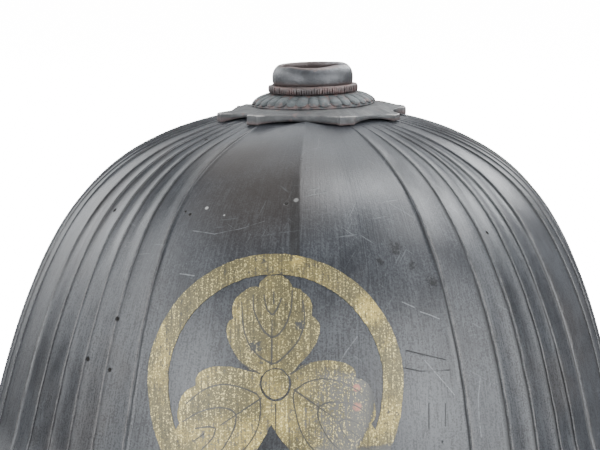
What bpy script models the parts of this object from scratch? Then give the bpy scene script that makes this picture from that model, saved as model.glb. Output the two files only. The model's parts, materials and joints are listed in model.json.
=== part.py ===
# War hat with a helmet-shaped bowl and a flared brim, and a stepped copper fitting round the
# crown hole. Metres, +Z up, the rim resting on Z = 0, the front of the hat towards -Y.

import bpy
import bmesh
from collections import namedtuple
from math import cos, pi, radians, sin, tan
from mathutils import Vector

MM = 0.001

# Bowl
BOWL_HEIGHT = 146 * MM      # rim to the outside of the crown
PLAN_OVAL = 1.04            # front to back over side to side
LEAN = tan(radians(1.4))    # the crown stands a little to the right of the rim's middle
WALL = 2.0 * MM
CROWN_HOLE_RADIUS = 13.3 * MM
RIM_RUN_ON = 6 * MM         # the brim is made this much too long, then trimmed flat

# Plates. Azimuth is in degrees, 0 at the front and growing towards +X, which is the wearer's
# left. RIGHT and LEFT are as seen from the front, so RIGHT is +X.
PLATE_STEP = 1.0 * MM       # how far each plate's front edge stands above the one before it
STEP_HALF_WIDTH = 0.4       # half of the step's slope, in degrees
PANEL_RIGHT_EDGE = 29.6     # borders of the smooth front panel
PANEL_LEFT_EDGE = -32.9
KEEL_AZIMUTH = -0.6         # where the two front plates meet
KEEL_HEIGHT = 0.7 * MM
PANEL_FOLDS = (-25, -17, -8.5, KEEL_AZIMUTH, 7, 14.5, 22)
RIGHT_PLATE_WIDTHS = (8.5, 6.3, 6.2, 5.0, 6.0, 6.3, 6.1)
LEFT_PLATE_WIDTHS = (6.8, 5.9, 5.4, 6.2, 6.2, 5.4, 5.2)
BACK_PLATE_START = 74.0     # from here on, plates of one width meet at the back
BACK_PLATES_PER_SIDE = 17
CROWN_SWIRL = 4.0           # degrees that the plates turn back by, from rim to crown
RELIEF_STARTS = 29 * MM     # radius where the steps rise out of the smooth crown
RELIEF_FULL = 50 * MM
RELIEF_FADES = 100 * MM     # depths between which they run out into the brim
RELIEF_ENDS = 122 * MM

# Crown fitting, heights above the outside of the crown
GAP = 0.3 * MM
FITTING_OFFSET = 0.4 * MM    # the fitting sits a little to the right of the crown's middle
FITTING_ROLL = 1.6           # degrees, right side up
FITTING_PITCH = 1.6          # degrees, front up
BORE_RADIUS = 10.0 * MM
SHANK_RADIUS = 12.3 * MM
SLEEVE_RADIUS = SHANK_RADIUS + GAP
PETALS = 32
PETAL_RELIEF = 0.55 * MM
PETAL_INNER_RADIUS = 14.3 * MM
PETAL_OUTER_RADIUS = 20.4 * MM
PETAL_BOTTOM = 2.0 * MM
PETAL_TOP = 5.4 * MM
COLLAR_RADIUS = 14.6 * MM
COLLAR_TOP = 8.3 * MM
BARREL_RADIUS = 13.2 * MM
FITTING_TOP = 14.9 * MM
SPLAY_RADIUS = 16.0 * MM     # flange of the shank, inside the bowl
SPLAY_THICK = 1.0 * MM
SPLAY_DROP = 1.2 * MM        # keeps the flange, which leans with the fitting, off the bowl

# Base plate: cut by hand, so its corners differ. Its rim is bent down to the bowl there and
# arches up between them. Degrees and millimetres; flat is half of a corner's flat end.
Corner = namedtuple("Corner", "azimuth flat radius height")
PLATE_CORNERS = (
    Corner(azimuth=-162, flat=5.0, radius=29.0, height=-0.3),
    Corner(azimuth=-122, flat=5.0, radius=27.6, height=-0.5),
    Corner(azimuth=-72, flat=5.0, radius=32.4, height=-0.2),
    Corner(azimuth=-40.5, flat=3.6, radius=30.2, height=0.9),
    Corner(azimuth=22, flat=6.0, radius=28.2, height=0.7),
    Corner(azimuth=66, flat=4.5, radius=29.4, height=-0.3),
    Corner(azimuth=106, flat=5.0, radius=30.9, height=0.1),
    Corner(azimuth=144, flat=5.0, radius=29.8, height=0.0),
)
PLATE_HOLLOW_RADIUS = 26.2 * MM
PLATE_LEVEL = 1.6 * MM       # its top under the petals, which leans with them
PLATE_LEVEL_SHARE = 0.48     # share of the way out where the top starts to fall to the rim
PLATE_STAND_OFF = 0.4 * MM   # under the corners
PLATE_ARCH = 0.6 * MM        # more than that between them

# The bowl's outline, where the plates' front edges lie, is a chain of Bezier arcs. Radius and
# depth are in millimetres, depth below the crown; lean is the outline's direction, in degrees
# out from straight down; reach_in and reach_out are the lengths of the handles before and after
# the knot.
Knot = namedtuple("Knot", "radius depth lean reach_in reach_out")
OUTLINE = (
    Knot(radius=0, depth=0, lean=90, reach_in=0, reach_out=49.5),
    Knot(radius=81, depth=35.5, lean=32.5, reach_in=20.5, reach_out=19),
    Knot(radius=103.2, depth=96, lean=12.7, reach_in=23.5, reach_out=22),
    Knot(radius=150, depth=146, lean=62, reach_in=26, reach_out=0),
)
ROWS_PER_ARC = (5, 4, 5)
ARC_SAMPLES = 64

Finish = namedtuple("Finish", "colour metallic roughness")
LACQUER = Finish((0.020, 0.022, 0.026), 0.0, 0.32)
BROWN_COPPER = Finish((0.110, 0.085, 0.075), 0.7, 0.50)
BLUE_COPPER = Finish((0.130, 0.150, 0.155), 0.7, 0.45)
RED_COPPER = Finish((0.230, 0.105, 0.080), 0.8, 0.48)
GREY_COPPER = Finish((0.180, 0.185, 0.195), 0.9, 0.34)


# ---------------------------------------------------------------- helpers

def clear_scene():
    for obj in list(bpy.data.objects):
        bpy.data.objects.remove(obj, do_unlink=True)


def new_collection(name):
    collection = bpy.data.collections.new(name)
    bpy.context.scene.collection.children.link(collection)
    return collection


def material(name, finish):
    mat = bpy.data.materials.new(name)
    mat.use_nodes = True
    shader = mat.node_tree.nodes["Principled BSDF"]
    shader.inputs["Base Color"].default_value = (*finish.colour, 1)
    shader.inputs["Metallic"].default_value = finish.metallic
    shader.inputs["Roughness"].default_value = finish.roughness
    mat.diffuse_color = (*finish.colour, 1)
    return mat


def mesh_object(name, bm, collection, finish=None, sharp_angle=30):
    mesh = bpy.data.meshes.new(name)
    bm.to_mesh(mesh)
    bm.free()
    mesh.shade_smooth()
    mesh.set_sharp_from_angle(angle=radians(sharp_angle))
    obj = bpy.data.objects.new(name, mesh)
    collection.objects.link(obj)
    if finish:
        mesh.materials.append(material(name, finish))
    return obj


def bent_grid(columns, rows, place):
    """A grid whose point (column, row) goes to place(column, row), with meeting edges welded."""
    bm = bmesh.new()
    bmesh.ops.create_grid(bm, x_segments=columns, y_segments=rows, size=1)
    for vert in bm.verts:
        column = round((vert.co.x + 1) / 2 * columns)
        row = round((vert.co.y + 1) / 2 * rows)
        vert.co = place(column, row)
    bmesh.ops.remove_doubles(bm, verts=bm.verts, dist=0.00001)
    return bm


def turned(name, profile, steps, collection, finish):
    """A closed profile of (radius, height) points, turned about Z."""
    bm = bmesh.new()
    points = [bm.verts.new((radius, 0, height)) for radius, height in profile]
    for start, end in zip(points, points[1:] + points[:1]):
        bm.edges.new((start, end))
    obj = mesh_object(name, bm, collection, finish)
    screw = obj.modifiers.new("turn", "SCREW")
    screw.steps = steps
    screw.render_steps = steps
    screw.use_merge_vertices = True
    screw.merge_threshold = 0.00001
    return obj


def ease(value, start, end):
    """0 before start, 1 after end, and a smooth rise between them."""
    share = min(max((value - start) / (end - start), 0), 1)
    return share * share * (3 - 2 * share)


# ---------------------------------------------------------------- bowl

def arc_point(first, last, share):
    """A point (radius, depth) of the Bezier arc between two knots, in metres."""
    def handle(knot, reach):
        return Vector((knot.radius + reach * sin(radians(knot.lean)),
                       knot.depth + reach * cos(radians(knot.lean))))
    rest = 1 - share
    point = (handle(first, 0) * rest ** 3
             + handle(first, first.reach_out) * 3 * rest * rest * share
             + handle(last, -last.reach_in) * 3 * rest * share * share
             + handle(last, 0) * share ** 3)
    return point * MM


def crown_depth(radius):
    """Depth below the crown at which the outline reaches a radius, within its first arc."""
    low, high = 0.0, 1.0
    for _ in range(30):
        middle = (low + high) / 2
        if arc_point(OUTLINE[0], OUTLINE[1], middle).x < radius:
            low = middle
        else:
            high = middle
    return arc_point(OUTLINE[0], OUTLINE[1], low).y


def outline_rows():
    """Points (radius, depth) from the run-on below the rim up to the crown hole."""
    rows = []
    for first, last, count in zip(OUTLINE, OUTLINE[1:], ROWS_PER_ARC):
        rows += [arc_point(first, last, i / count) for i in range(count)]
    rim = OUTLINE[-1]
    end = Vector((rim.radius, rim.depth)) * MM
    run = Vector((sin(radians(rim.lean)), cos(radians(rim.lean))))
    rows += [end, end + run * RIM_RUN_ON]
    rows[0] = Vector((CROWN_HOLE_RADIUS, crown_depth(CROWN_HOLE_RADIUS)))
    return rows[::-1]


def plate_edges(start, widths, side):
    """Azimuths of the plates' front edges on one side, from the front panel to the back."""
    edges = [start]
    for width in widths[:-1]:
        edges.append(edges[-1] + side * width)
    pitch = (180 - BACK_PLATE_START) / (BACK_PLATES_PER_SIDE + 0.5)
    edges += [side * (BACK_PLATE_START + i * pitch) for i in range(BACK_PLATES_PER_SIDE + 1)]
    return edges


def plate_columns():
    """(azimuth, share of a step) for each column of the bowl, all the way round."""
    columns = [(fold, 0.0) for fold in PANEL_FOLDS]
    for start, widths, side in ((PANEL_RIGHT_EDGE, RIGHT_PLATE_WIDTHS, 1),
                                (PANEL_LEFT_EDGE, LEFT_PLATE_WIDTHS, -1)):
        for edge in plate_edges(start, widths, side):
            columns.append((edge - side * STEP_HALF_WIDTH, 0.0))
            columns.append((edge + side * STEP_HALF_WIDTH, 1.0))
    columns += [(-180, 0.5), (180, 0.5)]
    return sorted(columns)


def bowl_point(azimuth, lift, radius, depth):
    """A point of the bowl's outside. lift is in metres, level, and 0 on the outline."""
    swirl = CROWN_SWIRL * max(1 - depth / RELIEF_FADES, 0) ** 2
    turn = radians(azimuth - swirl)
    height = BOWL_HEIGHT - depth
    return Vector(((radius + lift) * sin(turn) + LEAN * height,
                   -(radius + lift) * cos(turn) * PLAN_OVAL,
                   height))


def make_bowl(collection, cutters):
    rows = outline_rows()
    columns = plate_columns()

    def place(column, row):
        azimuth, step = columns[column]
        radius, depth = rows[row]
        shown = ease(radius, RELIEF_STARTS, RELIEF_FULL) * (1 - ease(depth, RELIEF_FADES, RELIEF_ENDS))
        lift = KEEL_HEIGHT if azimuth == KEEL_AZIMUTH else step * PLATE_STEP
        return bowl_point(azimuth, (lift - PLATE_STEP) * shown, radius, depth)

    bm = bent_grid(len(columns) - 1, len(rows) - 1, place)
    bowl = mesh_object("bowl", bm, collection, LACQUER, sharp_angle=25)
    wall = bowl.modifiers.new("wall", "SOLIDIFY")
    wall.thickness = WALL
    wall.offset = -1
    trim = bowl.modifiers.new("flat rim", "BOOLEAN")
    trim.operation = "DIFFERENCE"
    trim.object = floor_cutter(cutters)
    return bowl


def floor_cutter(cutters):
    """A block below Z = 0 that trims the brim to one flat ring."""
    side = 500 * MM
    deep = 40 * MM
    bm = bmesh.new()
    bmesh.ops.create_cube(bm, size=1)
    bmesh.ops.scale(bm, vec=(side, side, deep), verts=bm.verts)
    bmesh.ops.translate(bm, vec=(0, 0, -deep / 2), verts=bm.verts)
    cutter = mesh_object("floor_cutter", bm, cutters)
    cutter.hide_render = True
    cutter.display_type = "WIRE"
    return cutter


# ---------------------------------------------------------------- crown fitting

def nearest_corners(azimuth):
    """The corners of the base plate before and after an azimuth, and the share between them."""
    for last, corner in zip(PLATE_CORNERS[-1:] + PLATE_CORNERS[:-1], PLATE_CORNERS):
        side = (corner.azimuth - last.azimuth) % 360
        along = (azimuth - last.azimuth) % 360
        if along <= side:
            return last, corner, along / side, side
    raise ValueError(azimuth)


def plate_rim(azimuth):
    """Radius and top height of the base plate's rim, and how far between corners it is."""
    last, corner, share, side = nearest_corners(azimuth)
    radius = (last.radius + (corner.radius - last.radius) * share) * MM
    height = (last.height + (corner.height - last.height) * share) * MM
    hollow = min(ease(share * side, last.flat, side / 2),
                 ease((1 - share) * side, corner.flat, side / 2))
    return radius + (PLATE_HOLLOW_RADIUS - radius) * hollow, height, hollow


def make_base_plate(collection):
    """A loft round the shank: its top falls to the rim and its underside follows the bowl."""
    columns = 96
    edge = 0.3 * MM
    sleeve = SLEEVE_RADIUS + edge
    Section = namedtuple("Section", "out inset top drop")
    sections = (
        Section(out=0, inset=0, top=1, drop=0),
        Section(out=0, inset=0, top=0, drop=0),
        Section(out=0.5, inset=0, top=0, drop=0),
        Section(out=1, inset=0, top=0, drop=0),
        Section(out=1, inset=0, top=1, drop=1),
        Section(out=1, inset=1, top=1, drop=0),
        Section(out=PLATE_LEVEL_SHARE, inset=0, top=1, drop=0),
    )

    def place(column, row):
        section = sections[row % len(sections)]
        azimuth = 360 * column / columns
        rim, height, hollow = plate_rim(azimuth)
        radius = sleeve + (rim - sleeve) * section.out - edge * section.inset
        right = radius * sin(radians(azimuth))
        front = radius * cos(radians(azimuth))
        bend = ease(section.out, PLATE_LEVEL_SHARE, 1)
        level = PLATE_LEVEL + right * tan(radians(FITTING_ROLL)) + front * tan(radians(FITTING_PITCH))
        top = level + (height - level) * bend - edge * section.drop
        underside = PLATE_STAND_OFF + PLATE_ARCH * hollow * bend - crown_depth(radius)
        return Vector((right, -front, top if section.top else underside))

    bm = bent_grid(columns, len(sections), place)
    return mesh_object("base_plate", bm, collection, BROWN_COPPER)


def make_petal_ring(collection):
    """A domed ring, its top drawn up into petals with a groove between each two."""
    Section = namedtuple("Section", "radius height relief")
    sections = (
        Section(SLEEVE_RADIUS, PETAL_TOP, 0),
        Section(SLEEVE_RADIUS, PETAL_BOTTOM, 0),
        Section(PETAL_OUTER_RADIUS - 0.9 * MM, PETAL_BOTTOM, 0),
        Section(PETAL_OUTER_RADIUS, PETAL_BOTTOM + 0.8 * MM, 1),
        Section(PETAL_OUTER_RADIUS - 0.5 * MM, PETAL_BOTTOM + 1.9 * MM, 1),
        Section(PETAL_OUTER_RADIUS - 2.4 * MM, PETAL_TOP - 0.7 * MM, 1),
        Section(PETAL_INNER_RADIUS, PETAL_TOP, 0),
    )
    columns = PETALS * 3

    def place(column, row):
        section = sections[row % len(sections)]
        turn = 2 * pi * column / columns
        grooved = column % 3 == 0
        drop = PETAL_RELIEF * section.relief if grooved else 0
        radius = section.radius - drop * 0.7
        return Vector((radius * sin(turn), -radius * cos(turn), section.height - drop * 0.7))

    bm = bent_grid(columns, len(sections), place)
    return mesh_object("petal_ring", bm, collection, BLUE_COPPER)


def make_milled_collar(collection):
    bottom = PETAL_TOP + GAP
    edge = 0.25 * MM
    profile = (
        (COLLAR_RADIUS - edge, COLLAR_TOP),
        (COLLAR_RADIUS, COLLAR_TOP - edge),
        (COLLAR_RADIUS, bottom + edge),
        (COLLAR_RADIUS - edge, bottom),
        (SLEEVE_RADIUS, bottom),
        (SLEEVE_RADIUS, COLLAR_TOP),
    )
    return turned("milled_collar", profile, 48, collection, RED_COPPER)


def make_crown_ring(collection):
    """Barrel, rounded shoulder, lip rolled inwards, bore, and a shank splayed under the bowl."""
    shoulder = 2.6 * MM
    lip = BARREL_RADIUS - shoulder
    barrel_top = FITTING_TOP - shoulder
    inside_bowl = -crown_depth(SPLAY_RADIUS) - WALL - SPLAY_DROP
    arc = [(lip + shoulder * sin(radians(a)), barrel_top + shoulder * cos(radians(a)))
           for a in (5, 30, 55, 80)]
    profile = arc + [
        (BARREL_RADIUS, barrel_top - 1.0 * MM),
        (BARREL_RADIUS, COLLAR_TOP + GAP),
        (SHANK_RADIUS, COLLAR_TOP + GAP),
        (SHANK_RADIUS, inside_bowl),
        (SPLAY_RADIUS, inside_bowl),
        (SPLAY_RADIUS, inside_bowl - SPLAY_THICK),
        (BORE_RADIUS + 0.6 * MM, inside_bowl - SPLAY_THICK),
        (BORE_RADIUS + 0.6 * MM, barrel_top),
        (BORE_RADIUS, FITTING_TOP - 1.4 * MM),
        (BORE_RADIUS + 0.1 * MM, FITTING_TOP - 0.3 * MM),
    ]
    return turned("crown_ring", profile, 36, collection, GREY_COPPER)


def make_fitting(collection):
    """The base plate's rim lies on the bowl; the pieces above it lean back and to the left."""
    seat = bpy.data.objects.new("fitting_seat", None)
    seat.location = (LEAN * BOWL_HEIGHT + FITTING_OFFSET, 0, BOWL_HEIGHT)
    collection.objects.link(seat)
    tilt = bpy.data.objects.new("fitting_tilt", None)
    tilt.rotation_euler = (-radians(FITTING_PITCH), -radians(FITTING_ROLL), 0)
    tilt.parent = seat
    collection.objects.link(tilt)
    make_base_plate(collection).parent = seat
    for make in (make_petal_ring, make_milled_collar, make_crown_ring):
        make(collection).parent = tilt


clear_scene()
parts = new_collection("war_hat")
cutters = new_collection("cutters")
make_bowl(parts, cutters)
make_fitting(parts)
bpy.context.view_layer.update()
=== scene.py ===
import json
from collections import namedtuple
from math import cos, pi, radians, sin, tan

import bmesh
import bpy
import numpy as np
from mathutils import Euler, Matrix, Vector, noise

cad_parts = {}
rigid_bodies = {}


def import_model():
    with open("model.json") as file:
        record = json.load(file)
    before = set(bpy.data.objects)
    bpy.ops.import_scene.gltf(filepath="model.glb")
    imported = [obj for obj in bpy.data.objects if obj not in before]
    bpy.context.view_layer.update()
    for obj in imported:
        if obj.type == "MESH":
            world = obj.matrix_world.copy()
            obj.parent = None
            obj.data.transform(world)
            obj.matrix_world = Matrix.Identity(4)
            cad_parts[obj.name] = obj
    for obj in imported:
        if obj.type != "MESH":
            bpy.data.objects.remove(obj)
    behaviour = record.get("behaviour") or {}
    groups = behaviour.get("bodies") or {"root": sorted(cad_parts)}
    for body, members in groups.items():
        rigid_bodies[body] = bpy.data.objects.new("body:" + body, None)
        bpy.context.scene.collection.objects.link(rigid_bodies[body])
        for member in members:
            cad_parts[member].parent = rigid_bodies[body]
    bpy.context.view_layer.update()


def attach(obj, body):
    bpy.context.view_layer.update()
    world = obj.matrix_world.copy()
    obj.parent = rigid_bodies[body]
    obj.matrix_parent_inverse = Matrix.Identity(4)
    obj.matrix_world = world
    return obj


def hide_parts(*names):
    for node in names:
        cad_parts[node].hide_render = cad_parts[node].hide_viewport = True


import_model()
mm = 0.001
view = bpy.context.view_layer
noise.seed_set(4)  # the vector noise would otherwise be seeded by the clock


# Node trees: a Wire is one output socket, and maths on it adds the nodes

class Wire:
    def __init__(self, graph, socket):
        self.graph = graph
        self.socket = socket

    def do(self, operation, *others):
        values = [self, *others]
        vector = any(isinstance(v, Wire) and v.socket.type == "VECTOR" for v in values)
        kind = "ShaderNodeVectorMath" if vector else "ShaderNodeMath"
        return self.graph.add(kind, {"operation": operation}, values)

    def output(self, name):
        return Wire(self.graph, self.socket.node.outputs[name])

    def __add__(self, other):
        return self.do("ADD", other)

    def __sub__(self, other):
        return self.do("SUBTRACT", other)

    def __mul__(self, other):
        if self.socket.type == "VECTOR" and not isinstance(other, tuple):
            return self.graph.add("ShaderNodeVectorMath", {"operation": "SCALE"}, {0: self, 3: other})
        return self.do("MULTIPLY", other)

    def __truediv__(self, other):
        return self.do("DIVIDE", other)

    def __pow__(self, other):
        return self.do("POWER", other)

    def __neg__(self):
        return self * -1

    def __rsub__(self, other):
        return self * -1 + other

    __radd__ = __add__
    __rmul__ = __mul__


class Graph:
    def __init__(self, tree):
        self.tree = tree
        self.tree.nodes.clear()

    # any node: its type, its settings, the values or wires of its inputs, and which output to return
    def add(self, kind, settings=None, values=None, out=0):
        node = self.tree.nodes.new(kind)
        for name, value in (settings or {}).items():
            setattr(node, name, value)
        pairs = values.items() if isinstance(values, dict) else enumerate(values or [])
        for key, value in pairs:
            self.put(node.inputs[key], value)
        return Wire(self, node.outputs[out]) if node.outputs else node

    def put(self, socket, value):
        if isinstance(value, Wire):
            self.tree.links.new(value.socket, socket)
        elif socket.type == "RGBA" and len(value) == 3:
            socket.default_value = (*value, 1)
        else:
            socket.default_value = value

    def smooth(self, value, low, high, start=0.0, end=1.0):
        return self.add("ShaderNodeMapRange", {"interpolation_type": "SMOOTHSTEP"},
                        [value, low, high, start, end])

    def slope(self, value, low, high, start=0.0, end=1.0):
        return self.add("ShaderNodeMapRange", None, [value, low, high, start, end])

    def join(self, x, y, z):
        return self.add("ShaderNodeCombineXYZ", None, [x, y, z])

    def split(self, vector):
        parts = self.add("ShaderNodeSeparateXYZ", None, [vector])
        return parts, parts.output("Y"), parts.output("Z")

    def blend(self, factor, first, second):  # two colours
        return self.add("ShaderNodeMix", {"data_type": "RGBA"}, {0: factor, 6: first, 7: second}, out=2)

    def cloud(self, where, scale, detail=3.0, rough=0.5, bend=0.0):  # 0 to 1, mostly near 0.5
        values = {"Vector": where, "Scale": scale, "Detail": detail, "Roughness": rough, "Distortion": bend}
        return self.add("ShaderNodeTexNoise", None, values, out="Fac")

    def cells(self, where, scale):  # distance to the nearest of many scattered points
        return self.add("ShaderNodeTexVoronoi", None, {"Vector": where, "Scale": scale}, out="Distance")

    def attribute(self, name):
        return self.add("ShaderNodeAttribute", {"attribute_name": name}, None, out="Fac")

    def stored(self, name):  # an attribute, in a geometry tree
        return self.add("GeometryNodeInputNamedAttribute", {"data_type": "FLOAT"}, {"Name": name})


class Shape(Graph):  # a geometry tree with named inputs
    def __init__(self, name, inputs):
        super().__init__(bpy.data.node_groups.new(name, "GeometryNodeTree"))
        sockets = self.tree.interface
        sockets.new_socket("Geometry", in_out="OUTPUT", socket_type="NodeSocketGeometry")
        sockets.new_socket("Geometry", in_out="INPUT", socket_type="NodeSocketGeometry")
        self.ids = {}
        for label, value in inputs.items():
            socket = sockets.new_socket(label, in_out="INPUT", socket_type=self.kindOf(value))
            self.ids[label] = socket.identifier
        self.inputs = inputs
        self.start = self.tree.nodes.new("NodeGroupInput")

    def kindOf(self, value):
        kinds = {bpy.types.Object: "Object", bpy.types.Material: "Material", int: "Int", float: "Float",
                 Vector: "Vector"}
        return "NodeSocket" + next(kind for cls, kind in kinds.items() if isinstance(value, cls))

    def get(self, label):
        return Wire(self, self.start.outputs[label])

    def shapeOf(self, label):  # the geometry of an object input
        return self.add("GeometryNodeObjectInfo", None, [self.get(label)], out="Geometry")

    def random(self, low, high, seed):  # its sockets share names, and only those in use are enabled
        node = self.tree.nodes.new("FunctionNodeRandomValue")
        for name, value in {"Min": low, "Max": high, "Seed": seed}.items():
            self.put(next(s for s in node.inputs if s.name == name and s.enabled), value)
        return Wire(self, next(s for s in node.outputs if s.enabled))

    def finish(self, geometry, mat):
        solid = self.add("GeometryNodeRealizeInstances", None, [geometry])
        coated = self.add("GeometryNodeSetMaterial", None, {0: solid, 2: mat})
        end = self.tree.nodes.new("NodeGroupOutput")
        self.tree.links.new(coated.socket, end.inputs[0])

    def bake(self, source, name):  # a plain mesh object made by this tree from a source object
        modifier = source.modifiers.new(name, "NODES")
        modifier.node_group = self.tree
        for label, value in self.inputs.items():
            modifier[self.ids[label]] = value
        mesh = plainMesh(source)
        source.modifiers.remove(modifier)
        bpy.data.objects.remove(source)
        return newObject(name, mesh)


# Small helpers for meshes

def newObject(name, data):
    obj = bpy.data.objects.new(name, data)
    bpy.context.scene.collection.objects.link(obj)
    return obj


def meshFrom(bm, name):
    mesh = bpy.data.meshes.new(name)
    bm.to_mesh(mesh)
    bm.free()
    mesh.shade_smooth()
    return newObject(name, mesh)


def plainMesh(obj):  # with its modifiers applied
    view.update()
    return bpy.data.meshes.new_from_object(obj.evaluated_get(bpy.context.evaluated_depsgraph_get()))


def weld(bm, near=0.000002):  # near is in the mesh's own unit
    bmesh.ops.remove_doubles(bm, verts=bm.verts, dist=near)


# a grid whose vertices hold one number for each layer, layers[key](column, row)
def gridOf(columns, rows, layers, place=None):
    bm = bmesh.new()
    bmesh.ops.create_grid(bm, x_segments=columns, y_segments=rows, size=1)
    stores = {key: bm.verts.layers.float.new(key) for key in layers}
    for vert in bm.verts:
        column = round((vert.co.x + 1) / 2 * columns)
        row = round((vert.co.y + 1) / 2 * rows)
        if place:
            vert.co = place(column, row)
        for key, store in stores.items():
            vert[store] = layers[key](column, row)
    return bm


# a sheet whose point (column, row) is place(column, row), welded where its edges meet
def loft(name, columns, rows, place, **layers):
    bm = gridOf(columns, rows, layers, place)
    weld(bm)
    bmesh.ops.recalc_face_normals(bm, faces=bm.faces)
    return meshFrom(bm, name)


# faces turned outwards, after what work does to the mesh, and smooth up to an angle in degrees
def finished(obj, angle, work=None):
    bm = bmesh.new()
    bm.from_mesh(obj.data)
    if work:
        work(bm)
    bmesh.ops.recalc_face_normals(bm, faces=bm.faces)
    bm.to_mesh(obj.data)
    bm.free()
    obj.data.shade_smooth()
    obj.data.set_sharp_from_angle(angle=radians(angle))
    return obj


def ease(value, start, end):
    share = min(max((value - start) / (end - start), 0), 1)
    return share * share * (3 - 2 * share)


def around(radius, azimuth, height):  # azimuth in degrees from the front, towards +X
    turn = radians(azimuth)
    return Vector((radius * sin(turn), -radius * cos(turn), height))


def thickened(obj, thick):
    modifier = obj.modifiers.new("wall", "SOLIDIFY")
    modifier.thickness = thick
    modifier.offset = 0
    mesh = plainMesh(obj)
    obj.modifiers.clear()
    obj.data = mesh
    return obj


def surface(name):
    mat = bpy.data.materials.new(name)
    mat.use_nodes = True
    graph = Graph(mat.node_tree)
    where = graph.add("ShaderNodeTexCoord", None, None, out="Object")
    return mat, graph, where


mattDark = {"Base Color": (0.012, 0.011, 0.010), "Roughness": 0.85, "Specular IOR Level": 0.2}


# the shader and its output; bump is in millimetres, and where dull is 1 the matt dark shader covers it
def coat(graph, values, bump=None, dull=None):
    if bump is not None:
        values["Normal"] = graph.add("ShaderNodeBump", None, {"Distance": mm, "Height": bump})
    shader = graph.add("ShaderNodeBsdfPrincipled", None, values)
    if dull is not None:
        matt = graph.add("ShaderNodeBsdfPrincipled", None, mattDark)
        shader = graph.add("ShaderNodeMixShader", None, [dull, shader, matt])
    graph.add("ShaderNodeOutputMaterial", None, {"Surface": shader})


# Camera, light and floor

studio = {
    "aim": (-0.5 * mm, 0, 107 * mm),
    "distance": 1.0,
    "rise": 9.2,             # degrees above level
    "lens": 180.0,
    "lampAway": 1.6,
    "lampSide": 0.5,
    "lampPower": 1.07,
    "lampHeight": 100 * mm,  # they all point at the hat's axis, at this height
    "lampColour": (0.955, 0.98, 1.0),
    "sky": 0.3,
    "skyColour": (0.97, 0.985, 1.0, 1),
    "floorColour": (0.82, 0.82, 0.81),
    "floorGlow": 15.0,
    "floorGlowColour": (1.0, 1.0, 0.99),
    "floorDrop": 0.2 * mm,   # below the rim, so that the two never meet
    "floorSize": 12,
}

# soft lamps round the hat: for each rise above level, their azimuths from the front and brightness
softLamps = {
    4: ((-150, 1.6), (-80, 3.6), (-40, 12.5), (40, 9.0), (60, 9.6), (80, 8.0)),
    20: ((-154, 3.1), (-132, 6.6), (-110, 4.3), (-88, 6.6), (-66, 6.4), (-44, 15.6), (0, 6.0), (22, 8.0),
         (44, 14.4), (66, 3.9), (88, 6.7), (154, 6.6)),
    38: ((-168, 2.8), (-96, 5.3), (-72, 3.6), (120, 18.5), (168, 1.3)),
    56: ((-165, 1.6), (-105, 2.3), (75, 7.0), (105, 4.6), (135, 6.0), (165, 2.6)),
    74: ((125, 15.2),),
}


def toCamera():
    rise = radians(studio["rise"])
    return Vector((0, -cos(rise), sin(rise)))


def makeCamera():
    lens = bpy.data.cameras.new("camera")
    lens.lens = studio["lens"]
    lens.sensor_width = 36
    lens.dof.use_dof = False
    camera = newObject("camera", lens)
    camera.location = Vector(studio["aim"]) + toCamera() * studio["distance"]
    camera.rotation_euler = (pi / 2 - radians(studio["rise"]), 0, 0)
    bpy.context.scene.camera = camera


def makeLamp(azimuth, rise, brightness):
    side, away = studio["lampSide"], studio["lampAway"]
    lamp = bpy.data.lights.new("softLamp", "AREA")
    lamp.shape = "SQUARE"
    lamp.size = side
    lamp.energy = brightness * studio["lampPower"] * side * side * pi
    lamp.color = studio["lampColour"]
    light = newObject("softLamp", lamp)
    aim = Vector((0, 0, studio["lampHeight"]))
    light.location = aim + around(away * cos(radians(rise)), azimuth, away * sin(radians(rise)))
    light.rotation_euler = (aim - light.location).to_track_quat("-Z", "Y").to_euler()


def makeStudio():
    makeCamera()
    for rise, ring in softLamps.items():
        for azimuth, brightness in ring:
            makeLamp(azimuth, rise, brightness)
    world = bpy.data.worlds.new("studio")
    bpy.context.scene.world = world
    world.use_nodes = True
    sky = world.node_tree.nodes["Background"]
    sky.inputs["Color"].default_value = studio["skyColour"]
    sky.inputs["Strength"].default_value = studio["sky"]
    bm = bmesh.new()
    bmesh.ops.create_grid(bm, x_segments=1, y_segments=1, size=studio["floorSize"])
    floor = meshFrom(bm, "floor")
    mat, graph, _ = surface("paleFloor")
    coat(graph, {"Base Color": studio["floorColour"], "Roughness": 0.9, "Specular IOR Level": 0.1,
                 "Emission Color": studio["floorGlowColour"], "Emission Strength": studio["floorGlow"]})
    floor.data.materials.append(mat)
    floor.location.z = -studio["floorDrop"]
    floor.visible_glossy = False  # the hat is lit by the lamps and the sky only
    floor.visible_diffuse = False
    print("studio ready")


# Bowl

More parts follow.
